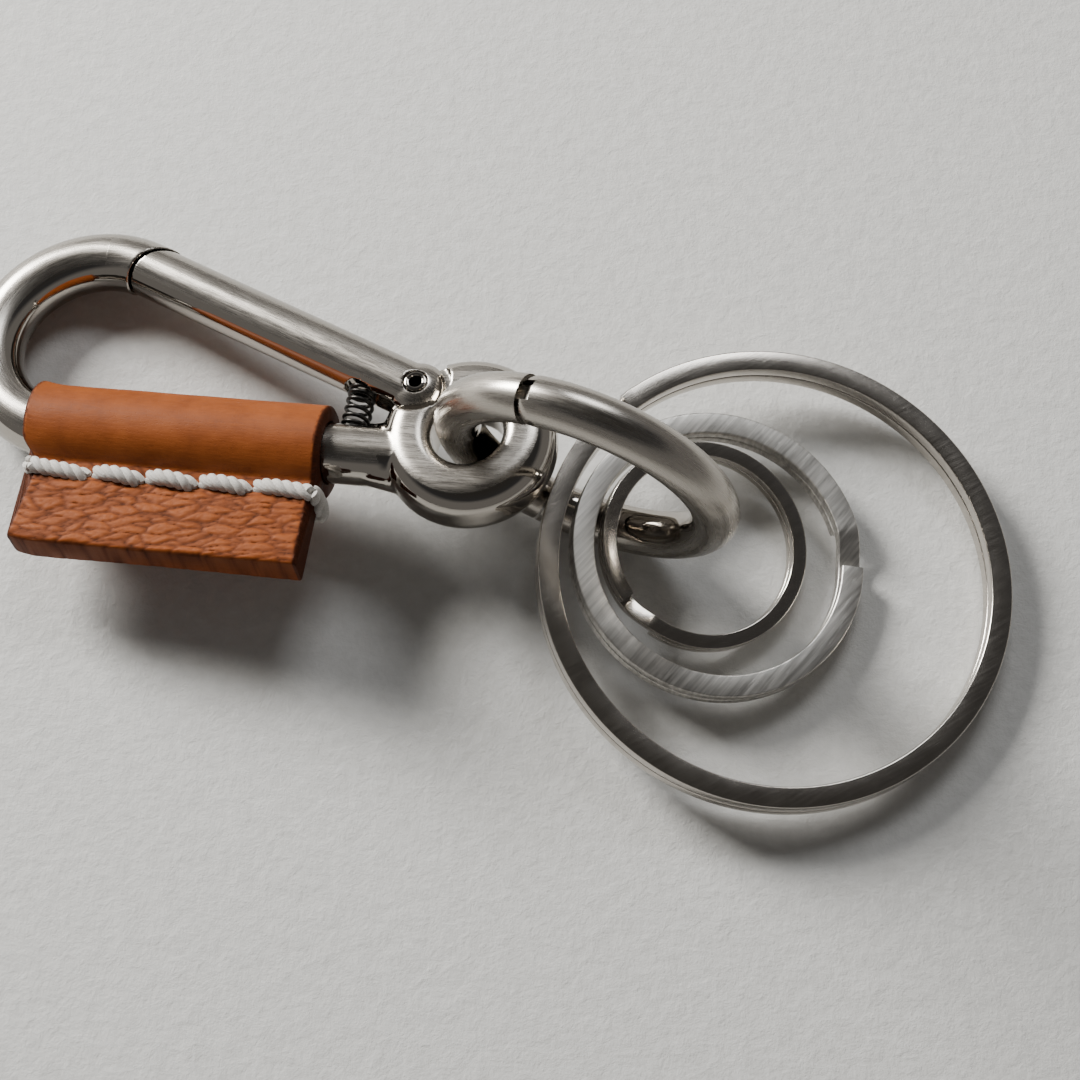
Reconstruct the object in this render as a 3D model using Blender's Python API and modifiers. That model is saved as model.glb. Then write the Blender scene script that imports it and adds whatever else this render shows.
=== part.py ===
"""Carabiner key holder: a sprung snap hook with a leather grip, a hinged ring and three split rings.

It lies on a flat surface at z = 0. The hinged ring stands on edge through the hook's eye, and the
split rings lean on its lower arc. Lengths are metres.
"""

import math

import bmesh
import bpy
from mathutils import Matrix, Vector

MM = 0.001

# The thick hinged ring stands on edge: centre, compass heading and lean.
RING_X, RING_Y = 10.15 * MM, -0.8 * MM
RING_HEADING = math.radians(-22.0)
RING_LEAN = math.radians(2.8)

# Hinged ring: two halves of round wire. Angles run round the ring from its far side, upwards.
RING_RADIUS = 12.4 * MM
RING_WIRE = 2.2 * MM
RING_AT_EYE = math.radians(201.7)
RING_HINGE = math.radians(110.0)
RING_CATCH = math.radians(250.0)
CATCH_GAP = 0.3 * MM
KNUCKLE_GAP = 0.3 * MM
TONGUE_HALF = 0.7 * MM
TONGUE_RADIUS = 1.5 * MM
SLOT_HALF = 0.95 * MM
PIN_RADIUS = 0.5 * MM
PIN_LENGTH = 4.0 * MM
RUNNING_FIT = 0.07 * MM
CATCH_RADIUS = 0.8 * MM
CATCH_LENGTH = 1.5 * MM

# Hook, in its own plane: x along the shank towards the eye, y towards the gate, z up.
HOOK_YAW = math.radians(-8.4)
HOOK_PITCH = math.radians(-7.4)
HOOK_ROLL = math.radians(-4.8)
HOOK_WIRE = 2.85 * MM
SHANK_Y = -2.15 * MM
BEND_RADIUS = 9.8 * MM
BOSS_RADIUS = 8.2 * MM
BOSS_HALF = 3.1 * MM
EYE_RADIUS = 3.35 * MM
EYE_ROUND = 1.5 * MM
RIM_ROUND = 2.3 * MM

# Gate, hinged on a hollow rivet. The tip and the hook's nose are cut to one arc.
RIVET_X, RIVET_Y = -5.7 * MM, 4.85 * MM
GATE_SLOPE = math.radians(21.8)
GATE_RADIUS = 2.7 * MM
GATE_LENGTH = 34.0 * MM
GATE_FLAT = 2.45 * MM
KNUCKLE_RADIUS = 2.8 * MM
POCKET_RADIUS = 3.45 * MM
TIP_RADIUS = 5.9 * MM
TIP_X, TIP_Y = 26.4 * MM, 2.2 * MM
TIP_GAP = 0.3 * MM
TANG_HALF = 1.0 * MM
TANG_RADIUS = 2.45 * MM
FORK_HALF = 1.3 * MM
FORK_DEPTH = 4.4 * MM
RIVET_RADIUS = 0.85 * MM
RIVET_BORE = 0.6 * MM
RIVET_RIM = 1.05 * MM
RIVET_HALF = 2.55 * MM

# Gate spring, standing between a pocket in the shank and one in the gate.
SPRING_X = -11.2 * MM
SPRING_LOW, SPRING_HIGH = 0.0 * MM, 5.3 * MM
SPRING_RADIUS = 1.2 * MM
SPRING_WIRE = 0.2 * MM
SPRING_TURNS = 7
SEAT_RADIUS = 1.8 * MM

# Leather wrap: a strap folded round the shank, its two ends sewn together as a fin.
WRAP_START = 2.8 * MM
WRAP_LENGTH = 28.8 * MM
WRAP_BORE = 3.35 * MM
WRAP_RADIUS = 4.4 * MM
FIN_REACH = 13.0 * MM
FIN_HALF = 1.8 * MM
FIN_ANGLE = math.radians(176.8)
THREAD_RADIUS = 0.6 * MM
THREAD_REACH = 5.4 * MM
THREAD_GAP = 0.15 * MM

# Split rings: outer and inner radius, height of both coils, place where the band crosses the
# hinged ring (along it from its middle), heading, sideways lean, where the top coil ends, and the
# length of the joggle between the coils.
SPLIT_RINGS = {
    "split_ring_large": (22.4 * MM, 20.4 * MM, 2.9 * MM, -2.4 * MM, -19.6, 0.0, 150.0, 4.4 * MM),
    "split_ring_medium": (14.0 * MM, 11.9 * MM, 2.4 * MM, 0.4 * MM, -18.0, 0.0, 15.0, 4.0 * MM),
    "split_ring_small": (10.0 * MM, 8.6 * MM, 2.0 * MM, 2.7 * MM, -13.8, 4.8, -129.0, 3.6 * MM),
}
COIL_GAP = 0.12 * MM
COIL_CHAMFER = 0.25 * MM
SPLIT_CLEARANCE = 0.4 * MM

STEEL = (0.62, 0.60, 0.57, 1.0)
FINISHES = {
    "steel_satin": (STEEL, 0.32, 1.0),
    "steel_polished": (STEEL, 0.12, 1.0),
    "steel_brushed": (STEEL, 0.38, 1.0),
    "spring_black": ((0.03, 0.03, 0.03, 1.0), 0.35, 0.8),
    "leather_tan": ((0.42, 0.13, 0.045, 1.0), 0.5, 0.0),
    "thread_white": ((0.75, 0.73, 0.69, 1.0), 0.75, 0.0),
}


def clear_scene():
    for obj in list(bpy.data.objects):
        bpy.data.objects.remove(obj, do_unlink=True)


def new_collection(name, hidden=False):
    collection = bpy.data.collections.new(name)
    collection.hide_render = hidden
    bpy.context.scene.collection.children.link(collection)
    return collection


def finish_material(name):
    material = bpy.data.materials.new(name)
    material.use_nodes = True
    shader = material.node_tree.nodes["Principled BSDF"]
    colour, roughness, metallic = FINISHES[name]
    shader.inputs["Base Color"].default_value = colour
    shader.inputs["Roughness"].default_value = roughness
    shader.inputs["Metallic"].default_value = metallic
    return material


def axis_empty(name, place, parent=None):
    """An empty that stands at a place in the world and carries the pieces made about it."""
    empty = bpy.data.objects.new(name, None)
    empty.empty_display_size = 5 * MM
    PARTS.objects.link(empty)
    empty.matrix_basis = place
    if parent:
        empty.parent = parent
        empty.matrix_parent_inverse = PLACES[parent.name].inverted()
    PLACES[name] = place
    return empty


def turn_about(axis, angle):
    return Matrix.Rotation(angle, 4, axis)


def add_mesh(name, bm, collection, parent):
    mesh = bpy.data.meshes.new(name)
    bmesh.ops.recalc_face_normals(bm, faces=bm.faces)
    bm.to_mesh(mesh)
    bm.free()
    obj = bpy.data.objects.new(name, mesh)
    obj.parent = parent
    collection.objects.link(obj)
    return obj


def cylinder(name, radius, length, place, parent, sides=32, far_radius=None, flatten=1.0, keep=False):
    """A capped cylinder or cone along its place's Z, with its middle there."""
    bm = bmesh.new()
    bmesh.ops.create_cone(bm, cap_ends=True, segments=sides, radius1=radius,
                          radius2=radius if far_radius is None else far_radius, depth=length)
    bmesh.ops.scale(bm, vec=(flatten, 1.0, 1.0), verts=bm.verts)
    bmesh.ops.transform(bm, matrix=place, verts=bm.verts)
    return add_mesh(name, bm, PARTS if keep else CUTTERS, parent)


def box(name, size, place, parent):
    bm = bmesh.new()
    bmesh.ops.create_cube(bm, size=1.0)
    bmesh.ops.scale(bm, vec=size, verts=bm.verts)
    bmesh.ops.transform(bm, matrix=place, verts=bm.verts)
    return add_mesh(name, bm, CUTTERS, parent)


def ball(name, radius, centre, parent):
    bm = bmesh.new()
    bmesh.ops.create_uvsphere(bm, u_segments=24, v_segments=16, radius=radius)
    bmesh.ops.translate(bm, vec=centre, verts=bm.verts)
    return add_mesh(name, bm, CUTTERS, parent)


def turned(name, profile, parent, steps):
    """A closed profile of (radius, height) points turned about Z. Its outer side runs down."""
    bm = bmesh.new()
    points = [bm.verts.new((radius, 0.0, height)) for radius, height in profile]
    for first, second in zip(points, points[1:] + points[:1]):
        bm.edges.new((first, second))
    mesh = bpy.data.meshes.new(name)
    bm.to_mesh(mesh)
    bm.free()
    obj = bpy.data.objects.new(name, mesh)
    obj.parent = parent
    PARTS.objects.link(obj)
    screw = obj.modifiers.new("Turn", "SCREW")
    screw.steps = screw.render_steps = steps
    screw.use_merge_vertices = True
    screw.merge_threshold = 0.000001
    return obj


def wire(name, points, radius, parent, keep=False, rounds=6, closed=False, section=None):
    """A wire along the points as a mesh: round, or with the given closed section."""
    curve = bpy.data.curves.new(name, "CURVE")
    curve.dimensions = "3D"
    curve.use_fill_caps = True
    if section is None:
        curve.bevel_depth = radius
        curve.bevel_resolution = rounds
    else:
        curve.bevel_mode = "OBJECT"
        curve.bevel_object = section
        curve.twist_mode = "Z_UP"
    spline = curve.splines.new("POLY")
    spline.points.add(len(points) - 1)
    for spline_point, point in zip(spline.points, points):
        spline_point.co = (*point, 1.0)
    spline.use_cyclic_u = closed
    guide = bpy.data.objects.new(name + "_guide", curve)
    bpy.context.scene.collection.objects.link(guide)
    bpy.context.view_layer.update()
    graph = bpy.context.evaluated_depsgraph_get()
    mesh = bpy.data.meshes.new_from_object(guide.evaluated_get(graph))
    bpy.data.objects.remove(guide)
    bm = bmesh.new()
    bm.from_mesh(mesh)
    bpy.data.meshes.remove(mesh)
    bmesh.ops.remove_doubles(bm, verts=bm.verts, dist=0.000001)
    return add_mesh(name, bm, PARTS if keep else CUTTERS, parent)


def section_curve(name, width, height, chamfer):
    """A rectangle with its corners taken off, as the section of a flat wire."""
    half_w, half_h = width / 2, height / 2
    corners = [
        (half_w, half_h - chamfer), (half_w - chamfer, half_h),
        (chamfer - half_w, half_h), (-half_w, half_h - chamfer),
        (-half_w, chamfer - half_h), (chamfer - half_w, -half_h),
        (half_w - chamfer, -half_h), (half_w, chamfer - half_h),
    ]
    curve = bpy.data.curves.new(name, "CURVE")
    curve.dimensions = "2D"
    curve.fill_mode = "NONE"
    spline = curve.splines.new("POLY")
    spline.points.add(len(corners) - 1)
    for point, corner in zip(spline.points, corners):
        point.co = (*corner, 0.0, 1.0)
    spline.use_cyclic_u = True
    obj = bpy.data.objects.new(name, curve)
    CUTTERS.objects.link(obj)
    return obj


def boolean(obj, operation, *others):
    for other in others:
        modifier = obj.modifiers.new(operation.title() + " " + other.name, "BOOLEAN")
        modifier.operation = operation
        modifier.object = other
        other.hide_render = True
        other.display_type = "WIRE"


def dress(obj, finish):
    """Gives a piece its finish, and smooth shading except across sharp edges."""
    obj.data.materials.clear()
    obj.data.materials.append(MATERIALS[finish])
    obj.data.shade_smooth()
    obj.data.set_sharp_from_angle(angle=math.radians(35))


def arc(centre, radius, start, end, count):
    """Points on an arc in the XY plane, both ends included."""
    for i in range(count + 1):
        angle = start + (end - start) * i / count
        yield Vector((centre[0] + radius * math.cos(angle), centre[1] + radius * math.sin(angle), 0.0))


def on_ring(angle):
    return Vector((RING_RADIUS * math.cos(angle), RING_RADIUS * math.sin(angle), 0.0))


# The bend is one arc that leaves the shank's line and meets the gate's line, both at a tangent.
BEND_Y = SHANK_Y + BEND_RADIUS
BEND_X = RIVET_X - (BEND_RADIUS + (BEND_Y - RIVET_Y) * math.cos(GATE_SLOPE)) / math.sin(GATE_SLOPE)
RIVET = Matrix.Translation((RIVET_X, RIVET_Y, 0.0))
GATE = RIVET @ turn_about("Z", math.pi - GATE_SLOPE)


def along_wire(distance):
    """Place on the wire's centre line: distance from the bend's start, positive towards the eye."""
    bent = min(distance, 0.0) / BEND_RADIUS
    return Matrix.Translation((BEND_X + BEND_RADIUS * math.sin(bent) + max(distance, 0.0),
                               BEND_Y - BEND_RADIUS * math.cos(bent), 0.0))


def make_boss(frame):
    """The eye: a thick washer with a rounded rim and a rounded, wide-mouthed hole."""
    profile = []
    for radius, height, size, start in (
        (BOSS_RADIUS - RIM_ROUND, BOSS_HALF - RIM_ROUND, RIM_ROUND, 90),
        (BOSS_RADIUS - RIM_ROUND, RIM_ROUND - BOSS_HALF, RIM_ROUND, 0),
        (EYE_RADIUS + EYE_ROUND, EYE_ROUND - BOSS_HALF, EYE_ROUND, -90),
        (EYE_RADIUS + EYE_ROUND, BOSS_HALF - EYE_ROUND, EYE_ROUND, -180),
    ):
        for step in range(6):
            angle = math.radians(start - 18 * step)
            profile.append((radius + size * math.cos(angle), height + size * math.sin(angle)))
    return turned("hook_body", profile, frame, 48)


def spring_seat(name, parent, place, depth):
    """A round pocket for one end of the gate spring, from its floor outwards along the place's Z."""
    return cylinder(name, SEAT_RADIUS, depth, place @ Matrix.Translation((0, 0, depth / 2)), parent, 24)


def make_hook_body(frame):
    body = make_boss(frame)
    path = [Vector((-5.4 * MM, SHANK_Y, 0.0)), Vector((BEND_X / 2, SHANK_Y, 0.0))]
    path += arc((BEND_X, BEND_Y), BEND_RADIUS, math.radians(270), math.pi / 2 - GATE_SLOPE, 26)
    path.append(path[-1] + Vector((math.cos(GATE_SLOPE), -math.sin(GATE_SLOPE), 0.0)) * 8 * MM)
    shank = wire("hook_wire", path, HOOK_WIRE, frame)
    neck_place = Matrix.Translation((-7.75 * MM, SHANK_Y + 0.2 * MM, 0.0)) @ turn_about("Y", math.pi / 2)
    neck = cylinder("hook_neck", HOOK_WIRE, 5.5 * MM, neck_place, frame, 28, 3.9 * MM, 0.75)
    tang = cylinder("hook_tang", TANG_RADIUS, 3 * TANG_HALF, RIVET, frame, 28)
    boolean(shank, "UNION", neck, tang)
    boolean(body, "UNION", shank)
    for name, side in (("pocket_top", 1), ("pocket_bottom", -1)):
        place = RIVET @ Matrix.Translation((0, 0, side * (TANG_HALF + 2 * MM)))
        boolean(body, "DIFFERENCE", cylinder(name, POCKET_RADIUS, 4 * MM, place, frame, 44))
    eye = cylinder("eye_hole", EYE_RADIUS - 0.02 * MM, 8 * MM, Matrix(), frame, 48)
    hole = cylinder("tang_hole", RIVET_RADIUS + RUNNING_FIT, 8 * MM, RIVET, frame)
    tip = GATE @ Matrix.Translation((TIP_X, TIP_Y, 0))
    nose = cylinder("nose_cut", TIP_RADIUS + TIP_GAP, 8 * MM, tip, frame, 72)
    foot = Matrix.Translation((SPRING_X, SPRING_LOW - 0.3 * MM, 0)) @ turn_about("X", -math.pi / 2)
    boolean(body, "DIFFERENCE", eye, hole, nose, spring_seat("spring_seat", frame, foot, 3 * MM))
    dress(body, "steel_satin")


def make_gate(hook_frame):
    """The gate's own frame is on the rivet, with X along the gate towards its tip."""
    frame = axis_empty("gate_pivot", PLACES["hook_frame"] @ GATE, hook_frame)
    gate = wire("gate", [Vector((x, 0, 0)) for x in (0.0, 15 * MM, GATE_LENGTH)], GATE_RADIUS, frame, True)
    knuckle = cylinder("gate_knuckle", KNUCKLE_RADIUS, 2 * GATE_FLAT, Matrix(), frame, 40)
    boolean(gate, "UNION", knuckle)
    tip = cylinder("gate_tip", TIP_RADIUS, 12 * MM, Matrix.Translation((TIP_X, TIP_Y, 0)), frame, 72)
    rest = (TIP_X + 6 * MM, 11 * MM, 11 * MM)
    boolean(tip, "UNION", box("gate_rest", rest, Matrix.Translation((TIP_X / 2 - 3 * MM, 0, 0)), frame))
    boolean(gate, "INTERSECT", tip)
    for name, side in (("top", 1), ("bottom", -1)):
        flat = Matrix.Translation((0, 0, side * (GATE_FLAT + 2 * MM)))
        sink = Matrix.Translation((0, 0, side * (RIVET_HALF - 0.4 * MM + MM)))
        boolean(gate, "DIFFERENCE", box("gate_flat_" + name, (8 * MM, 12 * MM, 4 * MM), flat, frame),
                cylinder("gate_sink_" + name, RIVET_RIM + 0.15 * MM, 2 * MM, sink, frame))
    fork = cylinder("gate_fork", FORK_DEPTH, 2 * FORK_HALF, Matrix(), frame, 48)
    hole = cylinder("gate_hole", RIVET_RADIUS + RUNNING_FIT, 8 * MM, Matrix(), frame)
    head = Matrix.Translation((SPRING_X, SPRING_HIGH + 0.3 * MM, 0)) @ turn_about("X", math.pi / 2)
    seat = spring_seat("gate_spring_seat", frame, GATE.inverted() @ head, 3 * MM)
    boolean(gate, "DIFFERENCE", fork, hole, seat)
    dress(gate, "steel_satin")


def make_rivet(hook_frame):
    frame = axis_empty("rivet_axis", PLACES["hook_frame"] @ RIVET, hook_frame)
    rim, neck = RIVET_HALF - 0.25 * MM, RIVET_HALF - 0.38 * MM
    outer = [(RIVET_BORE, RIVET_HALF), (RIVET_RIM, RIVET_HALF), (RIVET_RIM, rim), (RIVET_RADIUS, neck)]
    profile = outer + [(radius, -height) for radius, height in reversed(outer)]
    dress(turned("gate_rivet", profile, frame, 32), "steel_polished")


def make_gate_spring(frame):
    per_turn, whole = 12, SPRING_TURNS * 12
    low, high = SPRING_LOW + SPRING_WIRE, SPRING_HIGH - SPRING_WIRE
    points = []
    for i in range(whole + 1):
        angle = 2 * math.pi * i / per_turn
        points.append(Vector((SPRING_X + SPRING_RADIUS * math.cos(angle), low + (high - low) * i / whole,
                              SPRING_RADIUS * math.sin(angle))))
    dress(wire("gate_spring", points, SPRING_WIRE, frame, True, rounds=1), "spring_black")


def wrap_outline():
    """(angle, reach) round the shank; the fin points along angle 0."""
    corner, end = math.atan2(FIN_HALF, FIN_REACH), math.hypot(FIN_HALF, FIN_REACH)
    joint = math.asin(FIN_HALF / WRAP_RADIUS)
    spokes = [(0.0, FIN_REACH), (corner, end), (joint, WRAP_RADIUS)]
    count = 18
    for i in range(1, count):
        spokes.append((joint + (2 * math.pi - 2 * joint) * i / count, WRAP_RADIUS))
    return spokes + [(-joint, WRAP_RADIUS), (-corner, end)]


def make_leather_wrap(hook_frame):
    """A loft of upright sections along the wire, which rise a little as they follow the start of the bend."""
    spokes = wrap_outline()
    straight = WRAP_LENGTH - WRAP_START
    bm = bmesh.new()
    loops = []
    for distance in [-WRAP_START * (1 - i / 4) for i in range(5)] + [straight / 2, straight]:
        station = along_wire(distance)
        loops.append(([], []))
        for angle, reach in spokes:
            across = Vector((0.0, math.cos(FIN_ANGLE + angle), math.sin(FIN_ANGLE + angle)))
            loops[-1][0].append(bm.verts.new(station @ (across * WRAP_BORE)))
            loops[-1][1].append(bm.verts.new(station @ (across * reach)))
    count = len(spokes)
    for i in range(count):
        j = (i + 1) % count
        for (inner_a, outer_a), (inner_b, outer_b) in zip(loops, loops[1:]):
            bm.faces.new((outer_a[i], outer_a[j], outer_b[j], outer_b[i]))
            bm.faces.new((inner_a[i], inner_b[i], inner_b[j], inner_a[j]))
        for inner, outer in (loops[0], loops[-1]):
            bm.faces.new((inner[i], inner[j], outer[j], outer[i]))
    dress(add_mesh("leather_wrap", bm, PARTS, hook_frame), "leather_tan")


def make_seam_thread(frame):
    """One closed run of thread: along the fin's top, over its end and back underneath."""
    outward = Vector((0.0, math.cos(FIN_ANGLE), math.sin(FIN_ANGLE)))
    up = Vector((0.0, math.sin(FIN_ANGLE), -math.cos(FIN_ANGLE)))
    reach, lift = outward * THREAD_REACH, up * (FIN_HALF + THREAD_RADIUS + THREAD_GAP)
    beyond = Vector((THREAD_RADIUS + THREAD_GAP, 0, 0))
    first, last = -WRAP_START, WRAP_LENGTH - WRAP_START
    stops = [first, first / 2, 0.0, last / 2, last]
    points = [along_wire(stop) @ (reach + lift) for stop in stops]
    points += [along_wire(last) @ (reach + lift * side + beyond) for side in (0.6, -0.6)]
    points += [along_wire(stop) @ (reach - lift) for stop in reversed(stops)]
    points += [along_wire(first) @ (reach + lift * side - beyond) for side in (-0.6, 0.6)]
    dress(wire("seam_thread", points, THREAD_RADIUS, frame, True, rounds=2, closed=True), "thread_white")


def catch_place(angle):
    """Z along the way the catch leaves its socket, which is square to the line to the hinge."""
    return Matrix.Translation(on_ring(angle)) @ turn_about("Y", math.pi / 2)


def make_fixed_half(frame, hinge):
    """From the hinge, where it ends in a bowl with a tongue in it, through the eye to the catch."""
    face = RING_CATCH - CATCH_GAP / 2 / RING_RADIUS
    points = list(arc((0, 0), RING_RADIUS, RING_HINGE, face, 26))
    half = wire("ring_fixed_half", points, RING_WIRE, frame, True)
    centre = Matrix.Translation(hinge) @ turn_about("Z", RING_HINGE + math.pi / 2)
    bowl = ball("hinge_bowl", RING_WIRE + KNUCKLE_GAP, hinge, frame)
    tongue = cylinder("hinge_tongue", TONGUE_RADIUS, 2 * TONGUE_HALF, centre, frame, 28)
    neck = box("hinge_neck", (3.2 * MM, 2.4 * MM, 2 * TONGUE_HALF),
               centre @ Matrix.Translation((2.2 * MM, 0, 0)), frame)
    hole = cylinder("tongue_hole", PIN_RADIUS + RUNNING_FIT, 4 * MM, centre, frame, 24)
    socket = cylinder("catch_socket", CATCH_RADIUS + 0.25 * MM, 2 * (CATCH_LENGTH + 0.4 * MM),
                      catch_place(face), frame, 24)
    boolean(half, "DIFFERENCE", bowl, socket)
    boolean(half, "UNION", tongue, neck)
    boolean(half, "DIFFERENCE", hole)
    dress(half, "steel_satin")
    pin = cylinder("ring_hinge_pin", PIN_RADIUS, PIN_LENGTH, centre, frame, 24, keep=True)
    dress(pin, "steel_polished")


def make_swing_half(frame, hinge):
    """From the catch round the far side to the hinge, where it ends in a slotted ball."""
    face = RING_CATCH + CATCH_GAP / 2 / RING_RADIUS - 2 * math.pi
    points = [point - hinge for point in arc((0, 0), RING_RADIUS, face, RING_HINGE, 38)]
    half = wire("ring_swing_half", points, RING_WIRE, frame, True)
    away = turn_about("Z", RING_HINGE + math.pi / 2)
    end = ball("hinge_ball", RING_WIRE, Vector((0, 0, 0)), frame)
    catch = cylinder("catch", CATCH_RADIUS, 2 * CATCH_LENGTH, Matrix.Translation(-hinge) @ catch_place(face),
                     frame, 24)
    slot = cylinder("hinge_slot", TONGUE_RADIUS + 0.2 * MM, 2 * SLOT_HALF, away, frame, 28)
    mouth_place = away @ Matrix.Translation((2 * MM, 0, 0))
    mouth = box("hinge_mouth", (4 * MM, 6 * MM, 2 * SLOT_HALF), mouth_place, frame)
    hole = cylinder("pin_hole", PIN_RADIUS + RUNNING_FIT, 6 * MM, away, frame, 24)
    boolean(half, "UNION", end, catch)
    boolean(half, "DIFFERENCE", slot, mouth, hole)
    dress(half, "steel_satin")


def rest_tilt(height, middle, outer, thickness, lean):
    """Tilt at which a ring held up at one side touches the surface with its other side."""
    low, high = 0.0, math.radians(60)
    for _ in range(40):
        tilt = (low + high) / 2
        steepest = math.hypot(math.sin(tilt), math.cos(tilt) * math.sin(lean))
        if height - middle * math.sin(tilt) - outer * steepest > thickness / 2:
            low = tilt
        else:
            high = tilt
    return low


def coil_points(middle, level, top_end, joggle):
    """Two turns of flat wire about (middle, 0), the step between them spread over the joggle."""
    start, whole = math.radians(top_end) + joggle, 4 * math.pi - joggle
    count = 100
    for i in range(count + 1):
        turned_by = whole * i / count
        step = min(max((turned_by - (2 * math.pi - joggle)) / joggle, 0.0), 1.0)
        smooth = step * step * (3 - 2 * step)
        angle = start + turned_by
        yield Vector((middle + middle * math.cos(angle), middle * math.sin(angle), level * (2 * smooth - 1)))


def make_split_ring(name, ring_centre, parent):
    outer, inner, thickness, place, heading, lean, top_end, joggle = SPLIT_RINGS[name]
    middle, heading, lean = (outer + inner) / 2, math.radians(heading), math.radians(lean)
    wire_height = ring_centre.z - math.sqrt(RING_RADIUS ** 2 - place ** 2)
    height = wire_height + RING_WIRE + SPLIT_CLEARANCE + thickness / 2
    along = Vector((math.cos(RING_HEADING), math.sin(RING_HEADING), 0.0)) * place
    tilt = rest_tilt(height, middle, outer, thickness, lean)
    crossing = Matrix.Translation((ring_centre.x + along.x, ring_centre.y + along.y, height))
    place = crossing @ turn_about("Z", heading) @ turn_about("Y", tilt) @ turn_about("X", lean)
    frame = axis_empty(name + "_axis", place, parent)
    coil = (thickness - COIL_GAP) / 2
    section = section_curve(name + "_section", outer - inner, coil, COIL_CHAMFER)
    points = list(coil_points(middle, (coil + COIL_GAP) / 2, top_end, joggle / middle))
    ring = wire(name, points, 0.0, frame, True, section=section)
    section.hide_render = True
    section.display_type = "WIRE"
    dress(ring, "steel_brushed" if name == "split_ring_medium" else "steel_polished")


clear_scene()
PARTS = new_collection("carabiner_key_holder")
CUTTERS = new_collection("cutters", hidden=True)
MATERIALS = {name: finish_material(name) for name in FINISHES}
PLACES = {}


def main():
    centre = Vector((RING_X, RING_Y, RING_RADIUS * math.cos(RING_LEAN) + RING_WIRE))
    upright = turn_about("X", math.pi / 2 + RING_LEAN)
    ring_place = Matrix.Translation(centre) @ turn_about("Z", RING_HEADING) @ upright
    eye = ring_place @ on_ring(RING_AT_EYE)
    hook_turn = turn_about("Z", HOOK_YAW) @ turn_about("Y", HOOK_PITCH) @ turn_about("X", HOOK_ROLL)
    hook_frame = axis_empty("hook_frame", Matrix.Translation(eye) @ hook_turn)
    make_hook_body(hook_frame)
    make_gate(hook_frame)
    make_rivet(hook_frame)
    make_gate_spring(hook_frame)
    make_leather_wrap(hook_frame)
    make_seam_thread(hook_frame)
    swivel = axis_empty("ring_swivel", Matrix.Translation(eye))
    ring_frame = axis_empty("ring_frame", ring_place, swivel)
    hinge = on_ring(RING_HINGE)
    make_fixed_half(ring_frame, hinge)
    hinge_frame = axis_empty("ring_hinge", ring_place @ Matrix.Translation(hinge), ring_frame)
    make_swing_half(hinge_frame, hinge)
    for name in SPLIT_RINGS:
        make_split_ring(name, centre, hinge_frame)


main()
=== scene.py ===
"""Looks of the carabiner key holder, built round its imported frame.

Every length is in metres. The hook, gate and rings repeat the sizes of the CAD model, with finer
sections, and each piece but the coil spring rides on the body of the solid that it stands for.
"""

import math
import random

import bmesh
import bpy
from mathutils import Matrix, Vector, noise
from mathutils.bvhtree import BVHTree


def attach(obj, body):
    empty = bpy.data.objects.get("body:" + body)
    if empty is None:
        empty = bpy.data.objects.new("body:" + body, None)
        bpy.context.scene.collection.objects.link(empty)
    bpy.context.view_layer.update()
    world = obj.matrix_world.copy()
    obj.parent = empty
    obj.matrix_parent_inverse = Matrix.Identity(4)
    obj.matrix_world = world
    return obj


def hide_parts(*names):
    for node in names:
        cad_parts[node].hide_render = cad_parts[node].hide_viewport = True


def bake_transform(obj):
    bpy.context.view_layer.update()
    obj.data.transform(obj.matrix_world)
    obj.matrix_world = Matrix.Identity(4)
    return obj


MM = 0.001
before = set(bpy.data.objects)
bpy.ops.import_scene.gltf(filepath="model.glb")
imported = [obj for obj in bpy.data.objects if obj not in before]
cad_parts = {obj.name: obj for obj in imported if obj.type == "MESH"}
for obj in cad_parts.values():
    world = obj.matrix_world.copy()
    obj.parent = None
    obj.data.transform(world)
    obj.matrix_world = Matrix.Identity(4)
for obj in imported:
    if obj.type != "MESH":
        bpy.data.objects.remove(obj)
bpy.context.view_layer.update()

# Places and sizes shared with the CAD model.
RING_X, RING_Y = 10.15 * MM, -0.8 * MM
RING_HEADING, RING_LEAN = math.radians(-22.0), math.radians(2.8)
RING_RADIUS, RING_WIRE = 12.4 * MM, 2.2 * MM
RING_AT_EYE = math.radians(201.7)
RING_HINGE, RING_CATCH = math.radians(110.0), math.radians(250.0)
CATCH_GAP = 0.3 * MM

HOOK_YAW, HOOK_PITCH, HOOK_ROLL = math.radians(-8.4), math.radians(-7.4), math.radians(-4.8)
HOOK_WIRE, SHANK_Y, BEND_RADIUS = 2.85 * MM, -2.15 * MM, 9.8 * MM
BOSS_RADIUS, BOSS_HALF = 8.2 * MM, 3.1 * MM
EYE_RADIUS, EYE_ROUND, RIM_ROUND = 3.35 * MM, 1.3 * MM, 2.4 * MM

RIVET_X, RIVET_Y = -5.7 * MM, 4.85 * MM
GATE_SLOPE = math.radians(21.8)
GATE_RADIUS, GATE_LENGTH, GATE_FLAT = 2.7 * MM, 34.0 * MM, 2.45 * MM
KNUCKLE_RADIUS, POCKET_RADIUS = 3.15 * MM, 3.42 * MM
TIP_RADIUS, TIP_GAP = 5.9 * MM, 0.3 * MM
TIP_X, TIP_Y = 26.4 * MM, 2.2 * MM
TANG_HALF, TANG_RADIUS = 1.0 * MM, 2.45 * MM
FORK_HALF, FORK_DEPTH = 1.3 * MM, 4.4 * MM
RIVET_RADIUS, RIVET_BORE, RIVET_RIM, RIVET_HALF = 0.85 * MM, 0.6 * MM, 1.05 * MM, 2.55 * MM

SPRING_X, SPRING_LOW, SPRING_HIGH = -11.2 * MM, 0.0, 5.3 * MM
SPRING_RADIUS, SPRING_WIRE, SPRING_TURNS = 1.2 * MM, 0.2 * MM, 7
SEAT_RADIUS = 1.8 * MM

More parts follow.
